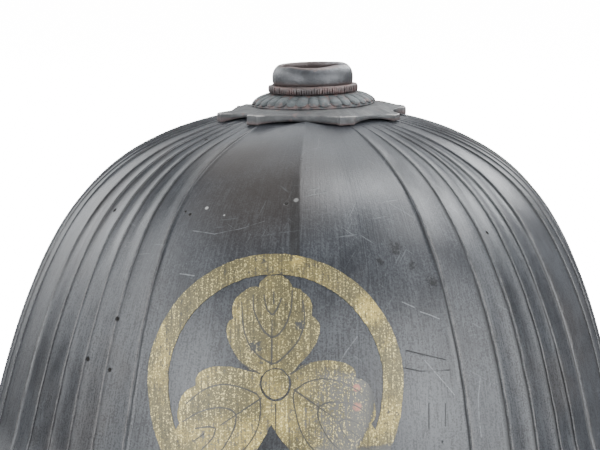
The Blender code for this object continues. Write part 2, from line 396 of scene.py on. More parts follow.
bowl = {
    "height": 146 * mm,
    "oval": 1.04,           # front to back over side to side
    "lean": tan(radians(1.4)),
    "wall": 2.0 * mm,
    "holeRadius": 13.3 * mm,
    "plateStep": 0.76 * mm,
    "reliefStarts": (24 * mm, 43 * mm),  # radii between which the plates rise from the smooth crown
    "reliefEnds": (100 * mm, 122 * mm),  # depths between which they run out in the brim
    "swirl": 4.0,           # degrees that the plates turn back by, from rim to crown
    "keelAzimuth": -0.6,
    "keelHeight": 1.5 * mm,
    "keelWidth": 14.0,      # degrees on each side
    "keelStarts": (16 * mm, 34 * mm),  # radii between which it rises
    "keelEnds": (38 * mm, 80 * mm),  # depths between which it runs out
    "frontSwell": 0.9 * mm,  # just in front of the base plate
    "swellStarts": (25.6 * mm, 28.6 * mm),
    "swellEnds": (34 * mm, 52 * mm),
    "swellMiddle": -3,
    "swellSides": (6, 27),  # degrees from its middle
    "panelRight": 29.6,
    "panelLeft": -32.9,
    "rightPlates": (8.5, 6.3, 6.2, 5.0, 6.0, 6.3),  # widths, from the panel backwards
    "leftPlates": (6.8, 5.9, 5.4, 6.2, 6.2, 5.4),
    "backStart": 74.0,
    "backPlates": 17,
    "waviness": 0.27,       # degrees, of the plates' edges
    "unevenness": 0.35 * mm,
    "seed": 3.0,
    "outerRows": 112,
    "innerRows": 28,
}

# outline: radius and depth in millimetres, its direction in degrees out from straight down, and
# the lengths of the handles before and after the knot
Knot = namedtuple("Knot", "radius depth lean before after")
outlineKnots = (
    Knot(0, 0, 90, 0, 49.5),
    Knot(81, 35.5, 32.5, 20.5, 19),
    Knot(103.2, 96, 12.7, 23.5, 22),
    Knot(150, 146, 62, 26, 0),
)

# one plate across: share of its width from its front edge, and rise, from 0 to 1 on the rounded edge
plateSection = ((0.0, 0.40), (0.008, 0.68), (0.020, 0.93), (0.036, 1.0), (0.085, 0.93), (0.17, 0.77),
                (0.28, 0.54), (0.42, 0.28), (0.57, 0.09), (0.74, 0.05), (0.89, 0.19))


def makeOutline():
    curve = bpy.data.curves.new("outline", "CURVE")
    curve.dimensions = "3D"
    curve.resolution_u = 64
    spline = curve.splines.new("BEZIER")
    spline.bezier_points.add(len(outlineKnots) - 1)
    for point, knot in zip(spline.bezier_points, outlineKnots):
        way = Vector((sin(radians(knot.lean)), 0, -cos(radians(knot.lean))))
        place = Vector((knot.radius, 0, -knot.depth))
        point.handle_left_type = "FREE"
        point.handle_right_type = "FREE"
        point.co = place * mm
        point.handle_left = (place - way * knot.before) * mm
        point.handle_right = (place + way * knot.after) * mm
    length = spline.calc_length()
    return newObject("outline", curve), length


# columns of the bowl: azimuth, rise of the plate and of the keel, and how much the column is the
# plate's edge or the crease at its foot
def bowlColumns():
    Column = namedtuple("Column", "azimuth rise keel edge crease")
    columns = []

    def addPlate(front, width, until=1.0):
        for share, rise in plateSection:
            if share < until:
                columns.append(Column(front + width * share, rise, 0.0, ease(rise, 0.9, 1.0),
                                      0.0 if share else 1.0))

    # the panel's columns are a degree apart, and half a degree near the keel
    low, high, keel = bowl["panelLeft"], bowl["panelRight"], bowl["keelAzimuth"]
    steps = [low + 0.35, *np.arange(low + 1, keel - 8, 1.0), *np.arange(keel - 8, keel + 8, 0.5), keel,
             *np.arange(keel + 8, high - 0.8, 1.0), high - 0.35]
    for azimuth in sorted(set(float(s) for s in steps)):
        near = max(1 - abs(azimuth - keel) / bowl["keelWidth"], 0)
        columns.append(Column(azimuth, 0.0, near ** 1.3, 0.0, 0.0))
    pitch = (180 - bowl["backStart"]) / (bowl["backPlates"] + 0.5)
    for start, widths, side in ((high, bowl["rightPlates"], 1), (low, bowl["leftPlates"], -1)):
        edges = [start]
        for width in widths:
            edges.append(edges[-1] + side * width)
        edges[-1] = side * bowl["backStart"]
        edges += [side * (bowl["backStart"] + pitch * (i + 1)) for i in range(bowl["backPlates"])]
        for front, back in zip(edges, edges[1:]):
            addPlate(front, back - front)
        addPlate(edges[-1], side * pitch, until=0.5)  # the two sides share one plate at the back
    columns.sort()
    back = Column(180, 0.42, 0.0, 0.0, 0.0)  # middle of the plate at the back
    return [back._replace(azimuth=-180)] + columns + [back]


def makePattern(length):
    columns = bowlColumns()
    hole = bowl["holeRadius"] / length
    outer = [hole + (1 - hole) * i / bowl["outerRows"] for i in range(bowl["outerRows"] + 1)]
    inner = [1 - (1 - hole) * i / bowl["innerRows"] for i in range(bowl["innerRows"] + 1)]
    # down the outside, round the rim, up the inside and round the hole's edge
    rows = [(along, 0.0) for along in outer] + [(1.0, 0.35), (1.0, 0.7)]
    rows += [(along, 1.0) for along in inner] + [(hole, 0.5), (hole, 0.0)]
    layers = {key: lambda column, row, key=key: getattr(columns[column], key)
              for key in ("azimuth", "rise", "keel", "edge", "crease")}
    layers["along"] = lambda column, row: rows[row][0]
    layers["inside"] = lambda column, row: rows[row][1]
    return meshFrom(gridOf(len(columns) - 1, len(rows) - 1, layers), "pattern")


def makeBowl(mat):
    outline, length = makeOutline()
    pattern = makePattern(length)
    g = Shape("rolledBowl", {
        "Outline": outline, "Height": bowl["height"], "Oval": bowl["oval"], "Lean": bowl["lean"],
        "Wall": bowl["wall"], "Plate step": bowl["plateStep"], "Swirl": bowl["swirl"],
        "Relief starts": bowl["reliefStarts"][0], "Relief full": bowl["reliefStarts"][1],
        "Relief fades": bowl["reliefEnds"][0], "Relief ends": bowl["reliefEnds"][1],
        "Keel height": bowl["keelHeight"], "Keel fades": bowl["keelEnds"][0],
        "Keel ends": bowl["keelEnds"][1], "Front swell": bowl["frontSwell"], "Waviness": bowl["waviness"],
        "Unevenness": bowl["unevenness"], "Seed": bowl["seed"], "Material": mat,
    })
    azimuth, along, inside = g.stored("azimuth"), g.stored("along"), g.stored("inside")
    here = g.add("GeometryNodeSampleCurve", {"mode": "FACTOR", "use_all_curves": True},
                 {"Curves": g.shapeOf("Outline"), "Factor": along}, out="Position")
    radius, _, level = g.split(here)
    depth = -level
    wayOut, _, wayDown = g.split(here.output("Tangent"))

    # where the plates show, how their edges wander, and how their height varies
    shown = g.smooth(radius, g.get("Relief starts"), g.get("Relief full"))
    shown = shown * g.smooth(depth, g.get("Relief fades"), g.get("Relief ends"), 1.0, 0.0)
    turn = azimuth * radians(1)
    east, north = turn.do("SINE"), turn.do("COSINE")
    seed = g.get("Seed")
    ribs = g.join(east * 9, north * 9, along * 16 + seed)
    wave = g.cloud(ribs, 1.0, 3.0, 0.6) - 0.5
    fine = g.cloud(g.join(east * 12, north * 12, along * 70 + seed), 1.0, 2.0, 0.6) - 0.5
    azimuth = azimuth + (wave * 2 + fine * 0.8) * g.get("Waviness") * shown
    tall = g.cloud(g.join(east * 7, north * 7, along * 5 + 20 + seed), 1.0, 1.0) * 1.2 + 0.4
    lift = (g.stored("rise") * tall.do("MINIMUM", 1.15) - 1) * g.get("Plate step") * shown

    # the keel, and the swelling in front of the base plate
    keel = g.smooth(depth, g.get("Keel fades"), g.get("Keel ends"), 1.0, 0.0)
    keel = keel * g.smooth(radius, *bowl["keelStarts"])
    lift = lift + g.stored("keel") * keel * g.get("Keel height")
    lift = lift * (1 - inside * 0.5)
    swollen = g.smooth(radius, *bowl["swellStarts"]) * g.smooth(radius, *bowl["swellEnds"], 1.0, 0.0)
    aside = (azimuth - bowl["swellMiddle"]).do("ABSOLUTE")
    swollen = swollen * g.smooth(aside, *bowl["swellSides"], 1.0, 0.0) * (1 - inside)
    lift = lift + swollen * g.get("Front swell")

    # every point is moved square to the outline and turned to its place
    place = g.join(east * radius, north * radius, depth)
    swell = g.cloud(place, 17, 1.0) + g.cloud(place, 60, 1.0) * 0.22 - 0.61
    offset = lift + swell * 2 * g.get("Unevenness") - inside * g.get("Wall")
    radius = radius - wayDown * offset
    height = (g.get("Height") + level + wayOut * offset).do("MAXIMUM", 0.0)
    swirl = (1 - depth / g.get("Relief fades")).do("MAXIMUM", 0.0) ** 2
    turn = (azimuth - swirl * g.get("Swirl")) * radians(1)
    point = g.join(radius * turn.do("SINE") + height * g.get("Lean"),
                   -(radius * turn.do("COSINE") * g.get("Oval")), height)
    bent = g.add("GeometryNodeSetPosition", None, {"Geometry": g.get("Geometry"), "Position": point})
    kept = g.add("GeometryNodeStoreNamedAttribute", {"data_type": "FLOAT"},
                 {"Geometry": bent, "Name": "shown", "Value": shown})
    welded = g.add("GeometryNodeMergeByDistance", None, {"Geometry": kept, "Distance": 0.005 * mm})
    g.finish(welded, g.get("Material"))
    piece = g.bake(pattern, "lacquered_bowl")
    bpy.data.objects.remove(outline)
    print("bowl:", len(piece.data.polygons), "faces")
    return finished(piece, 60)


# soft round spot, and soft line between two points, in millimetres
def spot(g, where, centre, size, soft=0.5):
    away = (where - tuple(c * mm for c in centre)).do("LENGTH").output("Value")
    return g.smooth(away, size * mm, size * (1 - soft) * mm)


def stroke(g, where, start, end, width):
    first = Vector(start) * mm
    way = Vector(end) * mm - first
    along = (where - tuple(first)).do("DOT_PRODUCT", tuple(way / way.length_squared)).output("Value")
    along = g.slope(along, 0, 1)
    near = g.add("ShaderNodeVectorMath", {"operation": "SCALE"}, {0: tuple(way), 3: along})
    away = (where - near - tuple(first)).do("LENGTH").output("Value")
    return g.smooth(away, width * mm, 0.2 * width * mm)


def most(*masks):
    highest = masks[0]
    for mask in masks[1:]:
        highest = highest.do("MAXIMUM", mask)
    return highest


def spots(g, where, marks, soft=0.5):
    return most(*(spot(g, where, centre, size, soft) for centre, size in marks))


def lines(g, where, marks):
    return most(*(stroke(g, where, start[:3], end[:3], start[3])
                  for line in marks for start, end in zip(line, line[1:])))


lacquerLook = {
    "dark": (0.0075, 0.0085, 0.0115),
    "pale": (0.016, 0.018, 0.023),
    "brown": (0.030, 0.019, 0.012),
    # a pale ground on rubbed crests, lightened also as a painted highlight along them
    "bareAndSheen": (0.100, 0.094, 0.090),
    # pale grey of dust, also used for patches of painted sheen
    "dustAndSheen": (0.085, 0.092, 0.098),
    "scratch": (0.19, 0.20, 0.21),
    "fleck": (0.34, 0.34, 0.33),
    # how strongly each colour covers what lies under it
    "brownShare": 0.25,
    "patchShare": 0.5,
    "dustShare": 0.30,
    "paintedSheenShare": 0.18,
    "bareSheenShare": 0.8,
    "scratchShare": 0.35,
    "longShare": 0.42,
    "speckShare": 0.4,
    "fleckShare": 0.8,
    "scratchTurns": (8, -32, 58),  # degrees from level
    "gloss": (0.29, 0.40),         # roughness of the clean lacquer, from its dark to its pale clouds
    "mattShare": (0.09, 0.28),     # everywhere, and what is added low down
    "mattFrom": (118 * mm, 84 * mm),
    "jointShadeFrom": (-70 * mm, -30 * mm),
    "jointShadeShare": (0.2, 0.8),      # dark joints and painted shade at the plates' feet, on the left and elsewhere
}


# marks of use, and patches of painted sheen, in millimetres: points of lines with the width from there on,
# centres and radii of spots
lacquerMarks = {
    "paleScratches": (
        ((-33.7, -69.2, 116.4, 0.22), (-26.8, -73.1, 116.0, 0.22), (-19.0, -74.4, 117.8, 0.16),
         (-11.3, -74.7, 120.3)),
        ((16.9, -93.9, 87.9, 0.24), (13.4, -96.2, 83.6, 0.28), (11.0, -98.0, 79.7, 0.26),
         (10.0, -99.5, 75.3)),
        ((54.9, -84.0, 72.9, 0.26), (54.2, -86.7, 66.8, 0.28), (54.5, -88.5, 60.5, 0.3),
         (55.1, -89.5, 55.7)),
        ((-37.5, -76.6, 104.2, 0.3), (-33.1, -79.1, 104.0)),
        ((-27.3, -81.4, 104.7, 0.3), (-24.4, -81.4, 106.5)),
        ((37.6, -90.9, 79.8, 0.3), (42.2, -90.7, 74.4, 0.3), (46.6, -90.1, 69.1)),
        ((36.3, -85.5, 93.9, 0.3), (39.3, -84.7, 92.8, 0.26), (42.3, -83.9, 91.4)),
        ((30.7, -86.1, 97.1, 0.26), (34.4, -85.6, 95.4)),
    ),
    "darkScratches": (
        ((30.3, -94.2, 78.5, 0.24), (36.0, -92.5, 76.9, 0.24), (45.2, -88.4, 76.4)),
        ((31.8, -91.8, 83.2, 0.32), (37.6, -90.3, 81.5, 0.24), (44.0, -88.0, 79.5)),
        ((38.7, -94.6, 67.2, 0.34), (38.7, -96.6, 60.1)),
        ((43.9, -92.3, 66.7, 0.26), (43.9, -94.2, 60.2)),
    ),
    "flecks": (((-29.5, -64.6, 122.8), 0.75), ((-24.0, -69.2, 121.3), 0.4), ((-1.7, -71.0, 126.3), 1.0)),
    "holes": (((-57.3, -72.2, 89.2), 0.9), ((-59.4, -77.4, 74.1), 0.8), ((-66.7, -69.6, 75.9), 0.9),
              ((-59.5, -41.5, 118.5), 0.9), ((-4.7, -71.4, 125.3), 0.9)),
    "stains": (((28.7, -77.6, 112.4), 5.5), ((33.9, -79.2, 107.1), 4.0), ((40.1, -79.4, 102.1), 5.0),
               ((24.0, -81.6, 108.7), 3.0)),
    # broad patches of painted sheen, standing in for highlights
    "paintedSheenPatches": (((54.8, -50.9, 121.6), 22), ((62.5, -54.5, 111.0), 18), ((-34.1, -90.6, 79.3), 15),
                     ((39.1, -95.1, 63.8), 20)),
    "brownPatches": (((-12.3, -64.2, 128.4), 34), ((-20.0, -50.0, 136.0), 24)),
    # a dark strip beside the keel: on each side, the axis, where it starts and where it is full
    "strip": (("x", -0.2, -0.9), ("x", -4.6, -3.0), ("z", 104, 112), ("z", 137, 131), ("y", -30, -45)),
}


# short straight scratches that all lie one way, turned in degrees from level
def scored(g, where, turn):
    x, y, z = g.split(where)
    along = x * cos(radians(turn)) + z * sin(radians(turn))
    across = z * cos(radians(turn)) - x * sin(radians(turn))
    return g.smooth(g.cloud(g.join(along * 80, across * 1300, y * 80), 1.0, 1.0), 0.69, 0.77)


def blackLacquer():
    mat, g, where = surface("blackLacquer")
    look, marks = lacquerLook, lacquerMarks
    x, y, z = g.split(where)
    east, north, _ = g.split(g.join(x - z * bowl["lean"], y * (1 / bowl["oval"]), 0.0).do("NORMALIZE"))

    def streaks(sideways, down, detail=1.0, roughness=0.5):  # noise drawn out down or round the bowl
        return g.cloud(g.join(east * sideways, north * sideways, z * down), 1.0, detail, roughness)

    edge, crease = g.attribute("edge"), g.attribute("crease")
    shown, inside = g.attribute("shown"), g.attribute("inside")
    brushed = streaks(260, 22, 3.0, 0.6)         # brush marks that run down
    fibres = streaks(90, 70, 5.0, 0.7)
    blotch = g.cloud(where, 38, 6.0, 0.62, 0.6)  # clouds two or three centimetres across
    fine = g.cloud(where, 420, 4.0, 0.7)
    grain = g.cloud(where, 1700, 2.0, 0.7)
    weave = grain * 0.45 + streaks(150, 1900) * 0.25 + streaks(170, 160) * 0.3  # cloth under the lacquer

    # pits and specks come in loose groups
    pit = g.smooth(g.cells(where, 95), 0.075, 0.045) * g.smooth(g.cloud(where, 60, 2.0), 0.56, 0.62)
    pit = most(pit, spots(g, where, marks["holes"]))
    specks = g.smooth(g.cells(where, 330), 0.13, 0.05) * g.smooth(g.cloud(where, 45, 2.0), 0.52, 0.62)
    some = g.smooth(g.cloud(where, 34, 2.0), 0.50, 0.62)
    scratches = most(*(scored(g, where, turn) for turn in look["scratchTurns"])) * some
    long = lines(g, where, marks["paleScratches"]) * g.smooth(fine, 0.3, 0.5)
    cuts = lines(g, where, marks["darkScratches"])
    chipped = edge * shown * g.smooth(g.cloud(where, 210, 3.0, 0.6), 0.55, 0.60) * (1 - inside)
    # rubbed crests of the plates, lighter also as a painted highlight along them
    rubbed = edge * shown * g.smooth(fibres * 0.6 + fine * 0.4, 0.38, 0.58) * (1 - inside)
    stain = spots(g, where, marks["stains"], 0.9)
    stain = g.smooth(stain * 0.35 + g.cloud(where, 900, 3.0, 0.7) * 0.65, 0.56, 0.68)
    strip = g.smooth(brushed * 0.5 + fibres * 0.5, 0.30, 0.5)
    for axis, start, full in marks["strip"]:
        strip = strip * g.smooth({"x": x, "y": y, "z": z}[axis], start * mm, full * mm)

    # colour, from the clean lacquer to what lies on it, with patches of painted sheen
    tone = g.smooth(blotch * 0.7 + brushed * 0.3, 0.3, 0.72)
    colour = g.blend(tone, look["dark"], look["pale"])
    warm = spots(g, where, marks["brownPatches"], 0.9)
    brown = g.smooth(g.cloud(where, 21, 4.0, 0.6, 0.4), 0.52, 0.72) * look["brownShare"]
    brown = most(brown, warm * look["patchShare"])
    colour = g.blend(brown, colour, look["brown"])
    # pale dust in the cloth's weave, and broad patches of painted sheen standing in for highlights
    dusty = g.smooth(weave, 0.42, 0.62) * g.smooth(blotch * 0.6 + fine * 0.4, 0.34, 0.60)
    patches = spots(g, where, marks["paintedSheenPatches"], 0.95)
    colour = g.blend(dusty * look["dustShare"] + patches * look["paintedSheenShare"], colour, look["dustAndSheen"])
    for mask, share, cover in ((rubbed, "bareSheenShare", "bareAndSheen"), (scratches, "scratchShare", "dustAndSheen"),
                               (long, "longShare", "scratch"), (specks, "speckShare", "dustAndSheen"),
                               (spots(g, where, marks["flecks"]), "fleckShare", "fleck")):
        colour = g.blend(mask * look[share], colour, look[cover])

    # gloss, height in millimetres, and the places that are dull and dark, painted shade in the plates'
    # creases among them
    rough = g.slope(blotch, 0.25, 0.8, *look["gloss"]) + (fine - 0.5) * 0.10 + (brushed - 0.5) * 0.05
    rough = rough + crease * shown * 0.05 + rubbed * 0.10 + brown * 0.12 + inside * 0.12 + dusty * 0.08
    rough = rough.do("MINIMUM", 0.8)
    height = (brushed - 0.5) * 0.02 + (fibres - 0.5) * 0.05
    height = height + (fine - 0.5) * 0.022 + (grain - 0.5) * 0.035
    height = height - pit * 0.25 - (scratches + long) * 0.02 - cuts * 0.05 - chipped * 0.12
    base, low = look["mattShare"]
    matt = g.smooth(weave, 0.52, 0.41) * (g.smooth(z, *look["mattFrom"]) * low + base) * (1 - inside)
    # dark joints at the plates' feet, with painted shade in the creases, stronger on the right
    jointAndShade = crease * shown * g.smooth(fibres, 0.28, 0.48)
    jointAndShade = jointAndShade * g.smooth(x, *look["jointShadeFrom"], *look["jointShadeShare"])
    dull = most(matt, warm * 0.40, jointAndShade, pit, stain * 0.6, strip * 0.6, cuts * 0.7)
    coat(g, {"Base Color": colour, "Roughness": rough, "IOR": 1.5}, height, dull)
    return mat


# Crest: three oak leaves in a ring, a traditional pattern, drawn flat and laid on the bowl

crest = {
    "centre": Vector((-7.8, -110.7, 77.2)) * mm,
    "rise": 9.2,           # degrees that the flat drawing leans back by
    "eye": Vector((-0.5, -987.1, 266.9)) * mm,  # it is laid on as seen from here
    "ringInner": 32.4,
    "ringOuter": 38.5,
    "disc": 4.1,
    "across": 0.99,        # the drawing is narrower than it is tall
    "below": 1.17,         # and its lower half is longer
    "leaves": 3,
    "lowerLeaf": 1.06,     # size of the lower leaves, beside the top one
    "thick": 0.24 * mm,
    "lift": 0.05 * mm,
    "gap": 0.38,           # between the disc and the leaves
    "leafMiddle": (-0.8, 16.0, 0),
    "rough": 0.16,         # how far the hand strayed
    "roughSize": 1.3,
    "lineWidth": 0.62,
    "lowerLine": 0.75,     # width of the lower leaves' lines, beside the top one's
    "lineNarrows": 0.45,
    "lineUneven": 0.4,
    "leafRows": 11,
    "ringGrid": (300, 6),
    "discGrid": (48, 4),
    "ringSway": 0.35,
}

# millimetres from the middle of the ring, for the leaf that points up
leafTip = (-0.2, 32.0)
leafLobesLeft = (
    (leafTip, (-2.2, 31.9), (-4.3, 30.2), (-5.0, 28.5)),
    ((-5.0, 28.5), (-7.6, 28.4), (-11.2, 25.8), (-12.7, 23.5), (-13.1, 21.0), (-12.6, 19.3)),
    ((-12.6, 19.3), (-14.1, 18.1), (-14.8, 15.8), (-14.0, 12.2), (-11.7, 7.8), (-8.6, 4.7), (-6.4, 3.5)),
)
leafLobesRight = (
    ((4.4, 2.4), (7.3, 5.6), (9.9, 8.3), (12.4, 12.4), (13.4, 16.5), (12.4, 18.8), (10.8, 20.0)),
    ((10.8, 20.0), (11.0, 22.7), (10.1, 25.3), (7.3, 27.9), (5.2, 28.5)),
    ((5.2, 28.5), (4.3, 30.2), (2.2, 31.9), leafTip),
)
# the lower leaves meet below the middle, so one side of each starts in its own way
lowerLeft = ((-12.6, 19.3), (-13.0, 17.2), (-12.0, 14.5), (-10.0, 9.8), (-8.0, 6.0), (-6.4, 3.5))
lowerRight = ((4.4, 2.4), (7.0, 3.0), (9.1, 3.9), (10.6, 6.9), (11.9, 11.2), (13.0, 15.6), (12.4, 18.8),
              (10.8, 20.0))
leafVeins = (
    ((4.3, 2.5), (7.0, 4.1), (10.5, 6.1)),
    ((-1.2, 5.2), (-1.1, 12.0), (-1.0, 18.8)),
    ((-1.0, 20.2), (-2.6, 22.2), (-3.5, 26.3)),
    ((-1.0, 20.2), (0.3, 21.7), (1.9, 25.3)),
    ((-0.5, 23.5), (-0.5, 27.3)),
    ((-1.2, 13.5), (-3.5, 15.5), (-5.5, 19.1), (-6.6, 22.4), (-6.7, 26.3)),
    ((-1.2, 13.5), (0.9, 14.4), (3.2, 17.6), (4.7, 22.2), (5.1, 27.6)),
    ((-1.2, 5.7), (-4.5, 7.6), (-7.6, 10.9), (-9.6, 16.5), (-10.2, 24.2)),
    ((-1.2, 5.7), (0.8, 6.3), (4.7, 9.9), (7.3, 13.5), (8.7, 18.6), (8.3, 24.7)),
)


def curveThrough(points, steps=6):
    points = [Vector((*p, 0)) for p in points]
    ends = [points[0] * 2 - points[1], *points, points[-1] * 2 - points[-2]]
    made = []
    for before, start, end, after in zip(ends, ends[1:], ends[2:], ends[3:]):
        for i in range(steps):
            t = i / steps
            made.append((start * 2 + (end - before) * t
                         + (before * 2 - start * 5 + end * 4 - after) * t * t
                         + (start * 3 - before - end * 3 + after) * t ** 3) / 2)
    return made + [points[-1]]


def handDrawn(point):
    place = point / crest["roughSize"]
    shake = noise.noise_vector(place) + noise.noise_vector(place / 4) * 0.4
    return point + Vector((shake.x, shake.y, 0)) * crest["rough"]


def flatLeaf(turn, size, number):
    left = (*leafLobesLeft[:-1], lowerLeft if number == 1 else leafLobesLeft[-1])
    right = (lowerRight if number == 2 else leafLobesRight[0], *leafLobesRight[1:])
    gap = crest["disc"] + crest["gap"]
    base = [(gap * cos(radians(a)), gap * sin(radians(a))) for a in range(150, 29, -12)]
    outline = []
    for arc in left:
        outline += curveThrough(arc)[:-1]
    outline += [Vector((*p, 0)) for p in base]
    for arc in right:
        outline += curveThrough(arc)[:-1]
    outline.append(outline[0].copy())
    middle = Vector(crest["leafMiddle"])
    turned = Matrix.Rotation(turn, 3, "Z") * size
    rows = crest["leafRows"]

    def place(column, row):
        return handDrawn(turned @ middle.lerp(outline[column], row / rows))
    return loft("leaf", len(outline) - 1, rows, place)


def flatRing():
    columns, rows = crest["ringGrid"]
    inner, outer = crest["ringInner"], crest["ringOuter"]

    def place(column, row):
        turn = 2 * pi * column / columns
        way = Vector((cos(turn), sin(turn), 0))
        sway = noise.noise(way * 2.2) * crest["ringSway"]
        return handDrawn(way * (inner + (outer - inner) * row / rows + sway))
    return loft("ring", columns, rows, place)


def flatDisc():
    columns, rows = crest["discGrid"]

    def place(column, row):
        turn = 2 * pi * column / columns
        return handDrawn(Vector((cos(turn), sin(turn), 0)) * crest["disc"] * row / rows)
    return loft("disc", columns, rows, place)


def flatLine(points, width):  # a brush line, narrow at its far end
    path = curveThrough(points, 8)
    count = len(path) - 1

    def place(column, row):
        share = row / count
        way = path[min(row + 1, count)] - path[max(row - 1, 0)]
        side = Vector((-way.y, way.x, 0)).normalized()
        half = width / 2 * (1 - crest["lineNarrows"] * share)
        half *= 1 + crest["lineUneven"] * noise.noise(path[row] * 0.8)
        return path[row] + side * half * (column - 1)
    return loft("line", 2, count, place)


def joined(name, objects):
    bm = bmesh.new()
    for obj in objects:
        bm.from_mesh(obj.data)
        bpy.data.objects.remove(obj)
    return meshFrom(bm, name)


def stretched(point):
    below = crest["below"] if point.y < 0 else 1.0
    return Vector((point.x * crest["across"], point.y * below, point.z))


def layOnBowl(flat, name, lift, thick, mat):
    for vert in flat.data.vertices:
        vert.co = stretched(vert.co)
    lean = Matrix.Rotation(pi / 2 - radians(crest["rise"]), 4, "X")
    flat.data.transform(Matrix.Translation(crest["centre"]) @ lean @ Matrix.Scale(mm, 4))
    g = Shape("laidOnBowl", {"Bowl": shell, "Eye": crest["eye"], "Lift": lift, "Material": mat})
    where = g.add("GeometryNodeInputPosition")
    ray = {"Target Geometry": g.shapeOf("Bowl"), "Source Position": where,
           "Ray Direction": where - g.get("Eye"), "Ray Length": 0.2}
    hit = g.add("GeometryNodeRaycast", None, ray, out="Hit Position")
    place = hit + hit.output("Hit Normal") * g.get("Lift")
    laid = g.add("GeometryNodeSetPosition", None, {"Geometry": g.get("Geometry"), "Position": place})
    g.finish(laid, g.get("Material"))
    piece = thickened(g.bake(flat, name), thick)
    return finished(piece, 50, lambda bm: weld(bm, 0.001 * mm))


goldLook = {
    "olive": (0.092, 0.079, 0.037),
    "bright": (0.34, 0.26, 0.070),
    # a painted glint
    "glint": (0.74, 0.62, 0.26),
    "shade": (0.036, 0.030, 0.015),
    "lacquer": (0.017, 0.018, 0.020),
    "haze": (0.074, 0.073, 0.068),
    "salmon": (0.50, 0.16, 0.10),
    # millimetres: centres and radii of spots, and for the thin ones how much sooner the gold wears off
    "fresh": (((-1.4, -85.6, 109.5), 3.4), ((20.6, -89.8, 95.2), 7), ((-6.0, -102.7, 64.0), 6),
              ((-15.6, -102.9, 58.8), 8)),
    "thin": (((-14.5, -94.9, 84.7), 3.2, 0.16), ((-0.4, -94.5, 91.5), 2.6, 0.14)),
    "salmonSpots": (((16.6, -99.0, 73.1), 1.5), ((16.8, -100.6, 67.6), 1.8)),
}


def goldLacquer():
    mat, g, where = surface("goldLacquer")
    look = goldLook
    x, y, z = g.split(where)
    strokes = g.cloud(g.join(x * 1900, y * 90, z * 110), 1.0, 2.0, 0.5)  # of a brush, upright
    speckle = g.cloud(where, 1900, 2.0, 0.7)
    grain = g.cloud(where, 700, 3.0, 0.7)
    patches = g.cloud(where, 60, 4.0, 0.6, 0.5)

    # the right leaf is worn most: tired at its foot, hazy over most of it, gone at its tip
    sideways, up = x - crest["centre"].x, (z - crest["centre"].z) * 0.86
    fromMiddle = g.join(sideways, 0.0, up).do("LENGTH").output("Value")
    leaf = g.smooth(fromMiddle, 31.5 * mm, 30 * mm) * g.smooth(z, 81 * mm, 76 * mm)
    tired = g.smooth(x, -1 * mm, 11 * mm) * leaf * 0.10 + g.smooth(x, 12 * mm, 22 * mm) * leaf * 0.08
    hazy = g.smooth(x, 23 * mm, 17 * mm) * leaf
    gone = g.smooth(x, 19 * mm, 24 * mm) * leaf
    for centre, size, amount in look["thin"]:
        tired = tired + spot(g, where, centre, size, 0.9) * amount
    wear = strokes * 0.20 + speckle * 0.34 + grain * 0.26 + patches * 0.20 + tired
    lost = g.smooth(z + (grain - 0.5) * 4 * mm, 57.0 * mm, 55.6 * mm) * g.smooth(x, 3 * mm, 5 * mm)
    worn = g.smooth(wear, 0.52, 0.62).do("MAXIMUM", lost * 0.95)

    # gold powder: brighter in patches, with glints painted on its grains, and worn down to the lacquer
    fresh = spots(g, where, look["fresh"], 0.8)
    rich = g.smooth(patches * 0.7 + grain * 0.3, 0.46, 0.60) * g.smooth(z, 112 * mm, 96 * mm, 0.15, 0.5)
    gold = g.blend(rich.do("MAXIMUM", fresh * 0.9), look["olive"], look["bright"])
    # painted glints: bright specks in the gold's colour
    shine = g.smooth(speckle * 0.72 + strokes * 0.28, 0.46, 0.38) * (fresh * 0.3 + 0.55)
    gold = g.blend(shine, gold, look["glint"])
    gold = g.blend(g.smooth(strokes * 0.4 + grain * 0.6, 0.51, 0.59) * 0.6, gold, look["shade"])
    colour = g.blend(worn * (gone * 0.1 + 0.9), gold, g.blend(hazy, look["lacquer"], look["haze"]))
    # painted glints on the hazy leaf as well
    colour = g.blend(shine * hazy * 0.4, colour, look["glint"])
    salmon = spots(g, where, look["salmonSpots"]) * g.smooth(grain * 0.5 + speckle * 0.5, 0.40, 0.52)
    colour = g.blend(salmon * 0.6, colour, look["salmon"])
    rough = g.slope(speckle, 0.3, 0.7, 0.40, 0.50) - worn * 0.12
    height = speckle * 0.03 + strokes * 0.03 - worn * 0.05
    coat(g, {"Base Color": colour, "Roughness": rough, "Metallic": (1 - worn) * 0.40}, height, gone * 0.25)
    return mat


def darkLines():
    mat, g, where = surface("darkLines")
    x, _, z = g.split(where)
    colour = g.blend(g.cloud(where, 900, 3.0), (0.012, 0.012, 0.012), (0.045, 0.040, 0.030))
    faded = g.smooth(x, 5 * mm, 13 * mm) * g.smooth(z, 81 * mm, 76 * mm) * 0.75  # on the worn leaf
    colour = g.blend(faded, colour, goldLook["haze"])
    rough = g.slope(g.cloud(where, 600, 3.0), 0.3, 0.7, 0.35, 0.55)
    coat(g, {"Base Color": colour, "Roughness": rough}, g.cloud(where, 1200, 2.0) * 0.02)
    return mat


